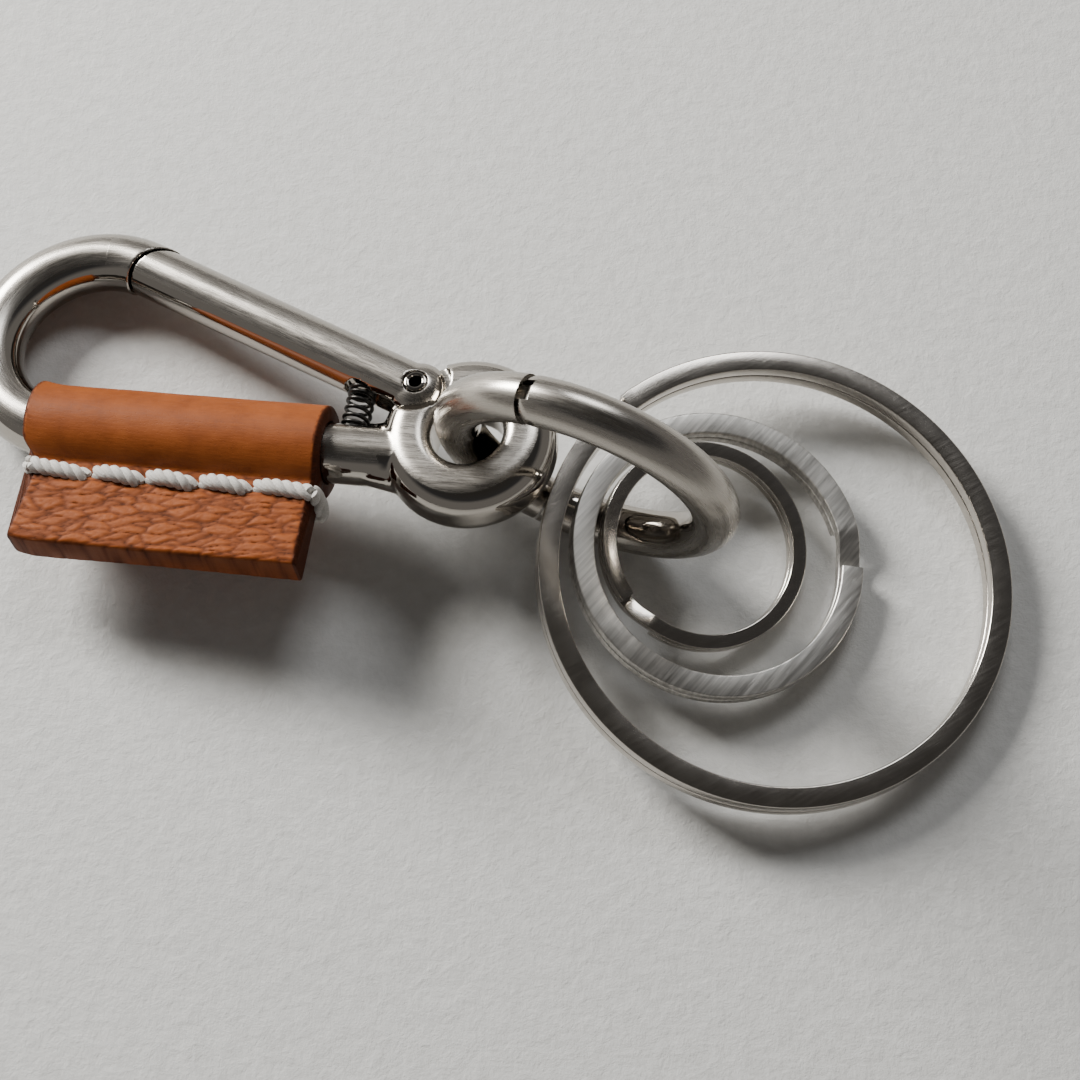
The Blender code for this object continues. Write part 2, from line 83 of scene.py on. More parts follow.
WRAP_START, WRAP_LENGTH = 2.8 * MM, 28.8 * MM
WRAP_BORE, WRAP_RADIUS = 3.0 * MM, 4.4 * MM
FIN_REACH, FIN_HALF = 13.0 * MM, 1.8 * MM
FIN_ANGLE = math.radians(176.8)
STITCH_REACH = 5.4 * MM
THREAD = 0.76 * MM

# Outer and inner radius, height, place, heading, lean, top coil's end, length of the joggle.
SPLIT_RINGS = {
    "large": (22.4 * MM, 20.4 * MM, 2.9 * MM, -2.4 * MM, -19.6, 0.0, 150.0, 4.4 * MM),
    "medium": (14.0 * MM, 11.9 * MM, 2.4 * MM, 0.4 * MM, -18.0, 0.0, 15.0, 4.0 * MM),
    "small": (10.0 * MM, 8.6 * MM, 2.0 * MM, 2.7 * MM, -13.8, 4.8, -129.0, 3.6 * MM),
}
COIL_GAP = 0.12 * MM
SPLIT_CLEARANCE = 0.4 * MM

# The camera looks down at the surface from in front.
AIM = Vector((6.05, -1.82, 0.0)) * MM
CAMERA_OFFSET = Vector((0.0, -74.9, 185.4)) * MM
CAMERA_LENS = 69.33

BEND_Y = SHANK_Y + BEND_RADIUS
BEND_X = RIVET_X - (BEND_RADIUS + (BEND_Y - RIVET_Y) * math.cos(GATE_SLOPE)) / math.sin(GATE_SLOPE)


def turn_about(axis, angle):
    return Matrix.Rotation(angle, 4, axis)


def on_ring(angle):
    return Vector((RING_RADIUS * math.cos(angle), RING_RADIUS * math.sin(angle), 0.0))


RING_CENTRE = Vector((RING_X, RING_Y, RING_RADIUS * math.cos(RING_LEAN) + RING_WIRE))
RING = Matrix.Translation(RING_CENTRE) @ turn_about("Z", RING_HEADING) @ turn_about("X", math.pi / 2 + RING_LEAN)
EYE = RING @ on_ring(RING_AT_EYE)
HOOK = (Matrix.Translation(EYE) @ turn_about("Z", HOOK_YAW) @ turn_about("Y", HOOK_PITCH)
        @ turn_about("X", HOOK_ROLL))
RIVET = Matrix.Translation((RIVET_X, RIVET_Y, 0.0))
GATE = RIVET @ turn_about("Z", math.pi - GATE_SLOPE)


# ---------------------------------------------------------------- node materials


class Nodes:
    """Short names for building one Principled material."""

    def __init__(self, name):
        self.material = bpy.data.materials.new(name)
        self.material.use_nodes = True
        self.tree = self.material.node_tree
        self.shader = self.tree.nodes["Principled BSDF"]

    def value(self, source):
        return source.outputs[0] if hasattr(source, "outputs") else source

    def link(self, source, socket):
        if isinstance(source, (int, float, tuple)):
            socket.default_value = source
        else:
            self.tree.links.new(self.value(source), socket)

    def node(self, kind, **settings):
        made = self.tree.nodes.new(kind)
        for key, setting in settings.items():
            setattr(made, key, setting)
        return made

    def attribute(self, name, vector=False):
        made = self.node("ShaderNodeAttribute", attribute_name=name)
        return made.outputs["Vector" if vector else "Fac"]

    def coordinates(self):
        return self.node("ShaderNodeTexCoord").outputs["Object"]

    def stretch(self, vector, scale, rotation=(0, 0, 0)):
        made = self.node("ShaderNodeMapping")
        self.link(vector, made.inputs["Vector"])
        made.inputs["Scale"].default_value = scale
        made.inputs["Rotation"].default_value = rotation
        return made

    def noise(self, vector, scale, detail=4.0, roughness=0.6, distortion=0.0):
        made = self.node("ShaderNodeTexNoise")
        self.link(vector, made.inputs["Vector"])
        made.inputs["Scale"].default_value = scale
        made.inputs["Detail"].default_value = detail
        made.inputs["Roughness"].default_value = roughness
        made.inputs["Distortion"].default_value = distortion
        return made.outputs["Fac"]

    def cells(self, vector, scale, feature="F1", randomness=1.0, output="Distance"):
        made = self.node("ShaderNodeTexVoronoi", feature=feature)
        self.link(vector, made.inputs["Vector"])
        made.inputs["Scale"].default_value = scale
        made.inputs["Randomness"].default_value = randomness
        return made.outputs[output]

    def ramp(self, factor, *stops):
        """Colours or greys at positions from 0 to 1."""
        made = self.node("ShaderNodeValToRGB")
        self.link(factor, made.inputs["Fac"])
        elements = made.color_ramp.elements
        while len(elements) < len(stops):
            elements.new(0.5)
        for element, (position, colour) in zip(elements, stops):
            element.position = position
            element.color = (colour, colour, colour, 1.0) if isinstance(colour, float) else (*colour, 1.0)
        return made.outputs["Color"]

    def range(self, factor, low, high, to_low=0.0, to_high=1.0):
        made = self.node("ShaderNodeMapRange")
        self.link(factor, made.inputs["Value"])
        made.inputs["From Min"].default_value = low
        made.inputs["From Max"].default_value = high
        made.inputs["To Min"].default_value = to_low
        made.inputs["To Max"].default_value = to_high
        return made.outputs["Result"]

    def math(self, operation, first, second=0.0):
        made = self.node("ShaderNodeMath", operation=operation)
        self.link(first, made.inputs[0])
        self.link(second, made.inputs[1])
        return made.outputs["Value"]

    def mix(self, factor, first, second, blend="MIX"):
        made = self.node("ShaderNodeMix", data_type="RGBA", blend_type=blend)
        self.link(factor, made.inputs["Factor"])
        self.link(first if not isinstance(first, tuple) else (*first, 1.0), made.inputs["A"])
        self.link(second if not isinstance(second, tuple) else (*second, 1.0), made.inputs["B"])
        return made.outputs["Result"]

    def mix_value(self, factor, first, second):
        made = self.node("ShaderNodeMix", data_type="FLOAT")
        self.link(factor, made.inputs["Factor"])
        self.link(first, made.inputs["A"])
        self.link(second, made.inputs["B"])
        return made.outputs["Result"]

    def bump(self, height, distance, strength=1.0, under=None):
        made = self.node("ShaderNodeBump")
        self.link(height, made.inputs["Height"])
        made.inputs["Distance"].default_value = distance
        made.inputs["Strength"].default_value = strength
        if under is not None:
            self.link(under, made.inputs["Normal"])
        return made.outputs["Normal"]

    def set(self, **inputs):
        for key, source in inputs.items():
            name = key.replace("_", " ").title().replace("Ior", "IOR")
            socket = self.shader.inputs[name]
            self.link((*source, 1.0) if isinstance(source, tuple) and len(source) == 3 else source, socket)
        return self.material


def steel(name, satin_rough=0.27, polish_rough=0.07, colour=(0.40, 0.372, 0.335), brush=(0.5, 9.0, 9.0)):
    """Stainless steel. The mesh's "satin" attribute is 1 where brushed and -1 where the colour is painted almost black
    as painted shade (the rivet's bore); "grain" runs along the brushing in mm.
    """
    n = Nodes(name)
    satin = n.attribute("satin")
    grain = n.attribute("grain", vector=True)
    lines = n.noise(n.stretch(grain, brush), 1.0, 3.0, 0.7)
    broad = n.noise(n.stretch(grain, tuple(b * 0.22 for b in brush)), 1.0, 2.0, 0.5)
    smudge = n.noise(grain, 0.55, 3.0, 0.6)
    brushed = n.math("ADD", n.range(lines, 0.3, 0.7, -0.04, 0.05), n.range(broad, 0.3, 0.7, -0.03, 0.03))
    satin_value = n.math("ADD", brushed, satin_rough)
    polish_value = n.range(smudge, 0.35, 0.75, polish_rough * 0.7, polish_rough * 1.7)
    tone = n.math("ADD", n.range(lines, 0.3, 0.7, -0.10, 0.10), n.range(broad, 0.3, 0.7, 0.98, 1.02))
    # Painted shade: where satin is -1 (the rivet's bore) the colour is scaled down to 0.04.
    tone = n.mix_value(satin, n.range(satin, -1.0, 0.0, 0.04, 1.0), tone)
    base = n.mix(1.0, colour, grey(n, tone), "MULTIPLY")
    height = n.math("MULTIPLY", lines, satin)
    normal = n.bump(height, 0.006 * MM, 0.6)
    return n.set(base_color=base, metallic=1.0, roughness=n.mix_value(satin, polish_value, satin_value), normal=normal)


def grey(n, value):
    made = n.node("ShaderNodeCombineColor")
    for socket in ("Red", "Green", "Blue"):
        n.link(value, made.inputs[socket])
    return made.outputs["Color"]


def scratched_steel(name, roughness, colour, direction, depth):
    """Flat wire, brushed across on a belt: straight fine scratches in one direction over the whole ring."""
    n = Nodes(name)
    place = n.stretch(n.coordinates(), (1.0, 1.0, 1.0), (0, 0, direction))
    fine = n.noise(n.stretch(place, (300.0, 7000.0, 2200.0)), 1.0, 4.0, 0.75)
    broad = n.noise(n.stretch(place, (150.0, 2800.0, 1000.0)), 1.0, 2.0, 0.5)
    rare = n.noise(n.stretch(place, (400.0, 16000.0, 4000.0)), 1.0, 1.0, 0.4, 0.4)
    marks = n.range(rare, 0.66, 0.72)
    smudge = n.noise(place, 420.0, 3.0, 0.6)
    rough = n.math("ADD", n.range(fine, 0.3, 0.7, roughness * 0.75, roughness * 1.3),
                   n.math("MULTIPLY", n.range(smudge, 0.4, 0.8), roughness * 0.2))
    tone = n.math("SUBTRACT", n.range(broad, 0.3, 0.7, 1.0 - 0.16 * depth, 1.0 + 0.1 * depth),
                  n.math("MULTIPLY", marks, 0.12 * depth))
    base = n.mix(1.0, colour, grey(n, tone), "MULTIPLY")
    height = n.math("ADD", fine, n.math("MULTIPLY", marks, 0.6))
    normal = n.bump(height, 0.004 * MM * depth, 0.6)
    return n.set(base_color=base, metallic=1.0, roughness=rough, normal=normal)


def leather(name):
    """Vegetable-tanned strap leather. "part" is 0 on the smooth roll, 1 on the grained fin and 2 on cut edges."""
    n = Nodes(name)
    part = n.attribute("part")
    place = n.attribute("flat", vector=True)
    fin = n.range(part, 0.35, 0.9)
    edge = n.range(part, 1.2, 1.8)
    crease = n.attribute("crease")
    mottle = n.noise(place, 0.35, 4.0, 0.6)
    hairs = n.noise(n.stretch(place, (0.7, 5.0, 5.0)), 1.0, 5.0, 0.65)
    pores = n.cells(n.stretch(place, (3.4, 4.6, 4.6)), 1.0)
    roll = n.ramp(n.math("ADD", n.math("MULTIPLY", mottle, 0.6), n.math("MULTIPLY", hairs, 0.4)),
                  (0.28, (0.15, 0.037, 0.008)), (0.5, (0.215, 0.055, 0.0115)), (0.72, (0.27, 0.073, 0.016)))
    # The fin's colour runs to near black in the grain's creases: the leather's own grain colour, with painted shade
    # deepening the creases.
    pebble = n.ramp(crease, (0.0, (0.022, 0.005, 0.0015)), (0.5, (0.15, 0.036, 0.007)), (0.95, (0.25, 0.064, 0.012)))
    pebble = n.mix(n.range(mottle, 0.35, 0.7, 0.0, 0.35), pebble, (0.18, 0.042, 0.008))
    burnt = n.ramp(hairs, (0.3, (0.030, 0.008, 0.003)), (0.7, (0.10, 0.024, 0.007)))
    base = n.mix(edge, n.mix(fin, roll, pebble), burnt)
    rough = n.mix_value(fin, n.range(hairs, 0.3, 0.7, 0.46, 0.60), n.range(crease, 0.0, 1.0, 0.75, 0.52))
    fine = n.math("ADD", n.math("MULTIPLY", hairs, 0.7), n.range(pores, 0.05, 0.3, 0.0, 0.35))
    normal = n.bump(fine, 0.05 * MM, 0.55)
    return n.set(base_color=base, roughness=rough, normal=normal, specular_ior_level=0.12)


def thread_look(name):
    n = Nodes(name)
    place = n.coordinates()
    fibre = n.noise(n.stretch(place, (9000.0, 9000.0, 9000.0)), 1.0, 4.0, 0.7)
    dirt = n.noise(place, 500.0, 3.0, 0.6)
    base = n.mix(n.range(dirt, 0.4, 0.8, 0.0, 0.5), n.ramp(fibre, (0.3, (0.42, 0.395, 0.36)), (0.65, (0.66, 0.64, 0.60))),
                 (0.52, 0.46, 0.40))
    return n.set(base_color=base, roughness=0.75, normal=n.bump(fibre, 0.03 * MM, 0.7), sheen_weight=0.3)


def black_wire(name):
    n = Nodes(name)
    place = n.coordinates()
    worn = n.noise(place, 1800.0, 3.0, 0.6)
    base = n.ramp(worn, (0.4, (0.018, 0.017, 0.016)), (0.75, (0.07, 0.065, 0.06)))
    return n.set(base_color=base, metallic=0.9, roughness=n.range(worn, 0.3, 0.8, 0.42, 0.22),
                 normal=n.bump(worn, 0.01 * MM, 0.4))


def paper(name):
    """The pale, slightly felted surface that it lies on."""
    n = Nodes(name)
    place = n.coordinates()
    felt = n.noise(place, 620.0, 5.0, 0.66, 0.2)
    fine = n.noise(place, 2600.0, 3.0, 0.7)
    height = n.math("ADD", felt, n.math("MULTIPLY", fine, 0.25))
    base = n.ramp(felt, (0.3, (0.60, 0.595, 0.575)), (0.7, (0.68, 0.675, 0.655)))
    return n.set(base_color=base, roughness=0.85, normal=n.bump(height, 0.22 * MM, 0.7))


LOOKS = {
    "steel_satin": steel("satin_steel"),
    "steel_polished": steel("polished_steel", satin_rough=0.12, polish_rough=0.08),
    "steel_brushed": scratched_steel("belt_brushed_steel", 0.38, (0.62, 0.60, 0.565), math.radians(-50), 1.8),
    "wire_polished": scratched_steel("polished_flat_wire", 0.19, (0.52, 0.485, 0.44), math.radians(-30), 0.35),
    "leather_tan": leather("tan_leather"),
    "thread_white": thread_look("white_thread"),
    "spring_black": black_wire("black_spring_wire"),
}


# ---------------------------------------------------------------- mesh building


def object_of(name, bm, place, look=None, sharp=35.0):
    """A mesh made in its own frame, with its points moved into the shared one."""
    bmesh.ops.transform(bm, matrix=place, verts=bm.verts)
    bmesh.ops.recalc_face_normals(bm, faces=bm.faces)
    mesh = bpy.data.meshes.new(name)
    bm.to_mesh(mesh)
    bm.free()
    obj = bpy.data.objects.new(name, mesh)
    bpy.context.scene.collection.objects.link(obj)
    if look:
        mesh.materials.append(LOOKS[look])
    mesh.shade_smooth()
    if sharp:
        mesh.set_sharp_from_angle(angle=math.radians(sharp))
    return obj


def skin(bm, rings, closed_round=True, closed_along=False, caps=True):
    """Faces between successive rings of points."""
    rows = [[bm.verts.new(p) for p in ring] for ring in rings]
    pairs = list(zip(rows, rows[1:])) + ([(rows[-1], rows[0])] if closed_along else [])
    count = len(rows[0])
    for low, high in pairs:
        for i in range(count if closed_round else count - 1):
            j = (i + 1) % count
            bm.faces.new((low[i], low[j], high[j], high[i]))
    if caps and not closed_along:
        bm.faces.new(rows[0])
        bm.faces.new(rows[-1])
    return rows


def tube(bm, frames, radius, sides=48, caps=True):
    """A round tube along frames whose Z runs along the path. radius is a number or a function of place."""
    rings = []
    for index, place in enumerate(frames):
        r = radius(index / (len(frames) - 1)) if callable(radius) else radius
        rings.append([place @ Vector((r * math.cos(2 * math.pi * i / sides), r * math.sin(2 * math.pi * i / sides), 0))
                      for i in range(sides)])
    return skin(bm, rings, caps=caps)


def frames_along(points, up=Vector((0, 0, 1))):
    """Frames on a path of points: Z along it, Y kept near the given direction."""
    made = []
    last = len(points) - 1
    for i, point in enumerate(points):
        run = (points[min(i + 1, last)] - points[max(i - 1, 0)]).normalized()
        side = up.cross(run).normalized()
        over = run.cross(side)
        made.append(Matrix.Translation(point) @ Matrix((side, over, run)).transposed().to_4x4())
    return made


def turned(bm, profile, steps=96):
    rings = []
    for step in range(steps):
        angle = 2 * math.pi * step / steps
        rings.append([Vector((r * math.cos(angle), r * math.sin(angle), z)) for r, z in profile])
    skin(bm, rings, closed_along=True)


def helper(bm):
    """A cutter or joined shape for a Boolean, in the piece's own frame."""
    bmesh.ops.recalc_face_normals(bm, faces=bm.faces)
    mesh = bpy.data.meshes.new("helper")
    bm.to_mesh(mesh)
    bm.free()
    obj = bpy.data.objects.new("helper", mesh)
    bpy.context.scene.collection.objects.link(obj)
    return obj


def round_bar(radius, length, place=Matrix(), sides=96, far_radius=None, flatten=1.0):
    bm = bmesh.new()
    bmesh.ops.create_cone(bm, cap_ends=True, segments=sides, radius1=radius,
                          radius2=radius if far_radius is None else far_radius, depth=length)
    bmesh.ops.scale(bm, vec=(flatten, 1.0, 1.0), verts=bm.verts)
    bmesh.ops.transform(bm, matrix=place, verts=bm.verts)
    return helper(bm)


def block(size, place=Matrix()):
    bm = bmesh.new()
    bmesh.ops.create_cube(bm, size=1.0)
    bmesh.ops.scale(bm, vec=size, verts=bm.verts)
    bmesh.ops.transform(bm, matrix=place, verts=bm.verts)
    return helper(bm)


def ball(radius, centre=(0, 0, 0)):
    bm = bmesh.new()
    bmesh.ops.create_uvsphere(bm, u_segments=64, v_segments=40, radius=radius)
    bmesh.ops.translate(bm, vec=centre, verts=bm.verts)
    return helper(bm)


def evaluated(obj):
    """The object's mesh with its modifiers applied; the object is removed."""
    graph = bpy.context.evaluated_depsgraph_get()
    bpy.context.view_layer.update()
    mesh = bpy.data.meshes.new_from_object(obj.evaluated_get(bpy.context.evaluated_depsgraph_get()))
    bpy.data.objects.remove(obj)
    bm = bmesh.new()
    bm.from_mesh(mesh)
    bpy.data.meshes.remove(mesh)
    return bm


def combine(obj, *steps):
    """Applies Booleans in turn. Each step is an operation and the helpers it takes, which are used up."""
    for operation, others in steps:
        for other in others:
            modifier = obj.modifiers.new(operation, "BOOLEAN")
            modifier.operation = operation
            modifier.solver = "EXACT"
            modifier.object = other
    bm = evaluated(obj)
    for _, others in steps:
        for other in others:
            bpy.data.objects.remove(other)
    return bm


def softened(bm, voxel, rounds=3):
    """Remeshes finely and smooths, so that joined shapes run into each other as cast metal does."""
    obj = helper(bm)
    remesh = obj.modifiers.new("Remesh", "REMESH")
    remesh.mode = "VOXEL"
    remesh.voxel_size = voxel
    remesh.adaptivity = 0.0
    smooth = obj.modifiers.new("Smooth", "SMOOTH")
    smooth.factor = 0.5
    smooth.iterations = rounds
    return evaluated(obj)


def paint(obj, satin, grain):
    """Writes the satin mask and the brushing direction: functions of a rest point and its normal."""
    mesh = obj.data
    mask = mesh.attributes.new("satin", "FLOAT", "POINT")
    run = mesh.attributes.new("grain", "FLOAT_VECTOR", "POINT")
    for i, vertex in enumerate(mesh.vertices):
        mask.data[i].value = satin(vertex.co, vertex.normal)
        run.data[i].vector = grain(vertex.co) / MM


def place_piece(obj, body, slot, *nodes):
    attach(obj, body)
    if nodes:
        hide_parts(*nodes)
    return obj


def step_between(value, low, high):
    t = min(max((value - low) / (high - low), 0.0), 1.0)
    return t * t * (3 - 2 * t)


# ---------------------------------------------------------------- hook


def arc_points(centre, radius, start, end, count):
    return [Vector((centre[0] + radius * math.cos(start + (end - start) * i / count),
                    centre[1] + radius * math.sin(start + (end - start) * i / count), 0.0)) for i in range(count + 1)]


def hook_path():
    points = [Vector((-5.4 * MM + (BEND_X + 5.4 * MM) * i / 12, SHANK_Y, 0.0)) for i in range(12)]
    points += arc_points((BEND_X, BEND_Y), BEND_RADIUS, math.radians(270), math.pi / 2 - GATE_SLOPE, 72)
    along = Vector((math.cos(GATE_SLOPE), -math.sin(GATE_SLOPE), 0.0))
    return points + [points[-1] + along * 8 * MM * i / 4 for i in range(1, 5)]


def boss_profile(count=10):
    profile = []
    for radius, height, size, start in (
        (BOSS_RADIUS - RIM_ROUND, BOSS_HALF - RIM_ROUND, RIM_ROUND, 90),
        (BOSS_RADIUS - RIM_ROUND, RIM_ROUND - BOSS_HALF, RIM_ROUND, 0),
        (EYE_RADIUS + EYE_ROUND, EYE_ROUND - BOSS_HALF, EYE_ROUND, -90),
        (EYE_RADIUS + EYE_ROUND, BOSS_HALF - EYE_ROUND, EYE_ROUND, -180),
    ):
        for step in range(count + 1):
            angle = math.radians(start - 90 * step / count)
            profile.append((radius + size * math.cos(angle), height + size * math.sin(angle)))
    return profile


def hook_satin(point, normal):
    """Brushed on the faces that look up, in the hook's own frame, with a crisp edge to the polished flanks."""
    local, n = HOOK_BACK @ point, HOOK_BACK.to_3x3() @ normal
    reach = math.hypot(local.x, local.y)
    if reach < BOSS_RADIUS + 0.3 * MM and local.x > -8.6 * MM:
        outward = (n.x * local.x + n.y * local.y) / max(reach, 1e-6)
        limit = 0.90 if outward > 0 else 0.2
    else:
        limit = 0.77
    return step_between(n.z, limit - 0.02, limit + 0.02)


def hook_grain(point):
    local = HOOK_BACK @ point
    if local.x < BEND_X:
        turn = math.atan2(local.x - BEND_X, BEND_Y - local.y)
        return Vector((BEND_X + turn * BEND_RADIUS, math.hypot(local.x - BEND_X, local.y - BEND_Y), local.z))
    return local.copy()


def make_hook():
    bm = bmesh.new()
    turned(bm, boss_profile())
    boss = helper(bm)
    bm = bmesh.new()
    tube(bm, frames_along(hook_path()), HOOK_WIRE, 72)
    shank = helper(bm)
    neck_place = Matrix.Translation((-7.75 * MM, SHANK_Y + 0.2 * MM, 0.0)) @ turn_about("Y", math.pi / 2)
    neck = round_bar(HOOK_WIRE, 5.5 * MM, neck_place, 64, 3.9 * MM, 0.75)
    eye = round_bar(EYE_RADIUS - 0.02 * MM, 8 * MM)
    joined = combine(boss, ("UNION", [shank, neck]), ("DIFFERENCE", [eye]))
    cast = helper(softened(joined, 0.16 * MM, 6))
    tang = round_bar(TANG_RADIUS, 3 * TANG_HALF, RIVET)
    pockets = [round_bar(POCKET_RADIUS, 4 * MM, RIVET @ Matrix.Translation((0, 0, side * (TANG_HALF + 2 * MM))))
               for side in (1, -1)]
    hole = round_bar(RIVET_RADIUS, 8 * MM, RIVET, 48)
    nose = round_bar(TIP_RADIUS + TIP_GAP, 8 * MM, GATE @ Matrix.Translation((TIP_X, TIP_Y, 0)), 160)
    foot = Matrix.Translation((SPRING_X, SPRING_LOW + 1.2 * MM, 0)) @ turn_about("X", -math.pi / 2)
    seat = round_bar(SEAT_RADIUS, 3 * MM, foot, 48)
    bm = combine(cast, ("UNION", [tang]), ("DIFFERENCE", [*pockets, hole, nose, seat]))
    bm = softened(bm, 0.12 * MM, 2)
    hook = object_of("hook", bm, HOOK, "steel_satin", 0)
    paint(hook, hook_satin, hook_grain)
    return place_piece(hook, "hook", "steel_satin", "hook_body")


def gate_satin(point, normal):
    """Brushed along the top, polished down both flanks and on the rounded tip."""
    local, n = GATE_BACK @ point, GATE_BACK.to_3x3() @ normal
    if local.x > TIP_X and abs(n.x) > 0.75:
        return 0.0
    return step_between(n.z, 0.75, 0.79)


def make_gate():
    bm = bmesh.new()
    tube(bm, frames_along([Vector((GATE_LENGTH * i / 8, 0, 0)) for i in range(9)]), GATE_RADIUS, 96)
    bar = helper(bm)
    knuckle = ball(1.0)
    knuckle.data.transform(Matrix.Diagonal((KNUCKLE_RADIUS, KNUCKLE_RADIUS, GATE_RADIUS - 0.05 * MM, 1.0)))
    tip = round_bar(TIP_RADIUS, 12 * MM, Matrix.Translation((TIP_X, TIP_Y, 0)), 160)
    rest = block((TIP_X + 6 * MM, 11 * MM, 11 * MM), Matrix.Translation((TIP_X / 2 - 3 * MM, 0, 0)))
    envelope = helper(combine(tip, ("UNION", [rest])))
    sinks = [round_bar(RIVET_RIM + 0.13 * MM, 2 * MM, Matrix.Translation((0, 0, side * (RIVET_HALF + 0.6 * MM))), 48)
             for side in (1, -1)]
    fork = round_bar(FORK_DEPTH, 2 * FORK_HALF)
    hole = round_bar(RIVET_RADIUS, 8 * MM, Matrix(), 48)
    head = Matrix.Translation((SPRING_X, SPRING_HIGH - 1.2 * MM, 0)) @ turn_about("X", math.pi / 2)
    seat = round_bar(SEAT_RADIUS, 3 * MM, GATE.inverted() @ head, 48)
    bm = combine(bar, ("UNION", [knuckle]), ("INTERSECT", [envelope]),
                 ("DIFFERENCE", [fork, hole, *sinks, seat]))
    bm = softened(bm, 0.1 * MM, 3)
    gate = object_of("gate_bar", bm, HOOK @ GATE, "steel_satin", 0)
    paint(gate, gate_satin, lambda point: GATE_BACK @ point)
    return place_piece(gate, "gate", "steel_satin", "gate")


# The part of the rivet that gets painted shade: the wall of its bore.
def in_shade_painted_bore(point):
    return math.hypot(point.x, point.y) < RIVET_BORE + 0.04 * MM


def make_rivet():
    corner = 0.12 * MM
    outer = [(RIVET_BORE, RIVET_HALF - corner), (RIVET_BORE + corner * 0.6, RIVET_HALF - corner * 0.2),
             (RIVET_BORE + corner * 1.4, RIVET_HALF), (RIVET_RIM - corner, RIVET_HALF),
             (RIVET_RIM - corner * 0.3, RIVET_HALF - corner * 0.3), (RIVET_RIM, RIVET_HALF - corner),
             (RIVET_RIM, RIVET_HALF - 0.3 * MM), (RIVET_RADIUS - 0.02 * MM, RIVET_HALF - 0.38 * MM)]
    profile = outer + [(r, -z) for r, z in reversed(outer)]
    bm = bmesh.new()
    turned(bm, profile, 64)
    rivet = object_of("hollow_rivet", bm, HOOK @ RIVET, "steel_polished")
    middle = HOOK @ RIVET
    # The bore's wall gets satin -1, which the steel paints almost black: painted shade in the bore.
    paint(rivet, lambda point, normal: -1.0 if in_shade_painted_bore(middle.inverted() @ point) else 0.0, lambda point: point)
    return place_piece(rivet, "hook", "steel_polished", "gate_rivet")


def make_spring():
    """Closed turns at both ends and open turns between."""
    per_turn = 40
    whole = SPRING_TURNS * per_turn
    low, high = SPRING_LOW + SPRING_WIRE, SPRING_HIGH - SPRING_WIRE
    points = []
    for i in range(whole + 1):
        t = i / whole
        eased = t - 0.055 * math.sin(2 * math.pi * t)
        angle = 2 * math.pi * i / per_turn
        points.append(Vector((SPRING_X + SPRING_RADIUS * math.cos(angle), low + (high - low) * eased,
                              SPRING_RADIUS * math.sin(angle))))
    bm = bmesh.new()
    tube(bm, frames_along(points, Vector((0, 1, 0))), SPRING_WIRE, 12)
    spring = object_of("coil_spring", bm, HOOK, "spring_black")
    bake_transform(spring)
    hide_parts("gate_spring")
    return spring


# ---------------------------------------------------------------- leather and stitching


def along_wire(distance):
    """Place on the wire's centre line: distance from the bend's start, positive towards the eye."""
    bent = min(distance, 0.0) / BEND_RADIUS
    return Matrix.Translation((BEND_X + BEND_RADIUS * math.sin(bent) + max(distance, 0.0),
                               BEND_Y - BEND_RADIUS * math.cos(bent), 0.0))


def wrap_outline(t):
    """Outer outline at a place t from 0 to 1 along the wrap, as (side, reach, part)."""
    outline = []
    half = FIN_HALF * (1.0 - 0.10 * math.exp(-((t - 0.5) / 0.3) ** 2))
    round_edge = 0.45 * MM
    samples = 64
    span = FIN_REACH - round_edge
    start = WRAP_RADIUS * 0.93
    for i in range(6):
        angle = math.pi / 2 * i / 5
        outline.append((half - round_edge + round_edge * math.sin(angle), span + round_edge * math.cos(angle), 1.45 - 0.09 * i))
    for i in range(1, samples):
        reach = span - (span - start) * i / samples
        pinch = 1.0 - 0.13 * math.exp(-((reach - STITCH_REACH) / (0.9 * MM)) ** 2)
        swell = 1.0 + 0.02 * math.sin(9 * t + reach / MM)
        outline.append((half * pinch * swell, reach, 1.0))
    joint = math.atan2(half, start)
    blend_to = math.radians(34)
    roll = []
    turns = 80
    for i in range(turns + 1):
        angle = joint + (math.pi - joint) * i / turns
        ease = step_between(angle, joint, blend_to + joint)
        radius = math.hypot(half, start) + (WRAP_RADIUS - math.hypot(half, start)) * ease
        if i:
            roll.append((radius * math.sin(angle), radius * math.cos(angle), 0.0 if angle > blend_to else 0.25 * (1 - ease)))
    upper = outline + roll
    lower = [(-side, reach, part) for side, reach, part in reversed(upper[1:-1])]
    return upper + lower


def fin_inset(t, reach):
    """How far the fin's cut ends stand in from the roll's, along the shank."""
    past = max(reach - STITCH_REACH, 0.0)
    left, right = 1.7 * MM - 0.1 * past, 0.04 * past - 0.3 * MM
    return step_between(reach, 3.0 * MM, STITCH_REACH) * ((1 - t) * left + t * right)


def grain_height(x, y):
    """Stretched pebble grain, in mm along and across the fin: 0 in a crease, 1 on a pebble."""
    warp = noise.noise_vector(Vector((x * 0.5, y * 0.5, 3.1))) * 0.3
    p = Vector(((x + warp.x) * 0.40, (y + warp.y) * 1.15, 0.0))
    slant = Vector((p.x + p.y * 0.30, p.y, 0.0))
    near, far = noise.voronoi(slant, distance_metric="DISTANCE")[0][:2]
    big = min((far - near) / 0.36, 1.0)
    small = noise.voronoi(slant * 2.3 + Vector((7, 3, 0)), distance_metric="DISTANCE")[0]
    fine = min((small[1] - small[0]) / 0.30, 1.0)
    return 0.72 * big * (2.0 - big) + 0.28 * fine * (2.0 - fine)


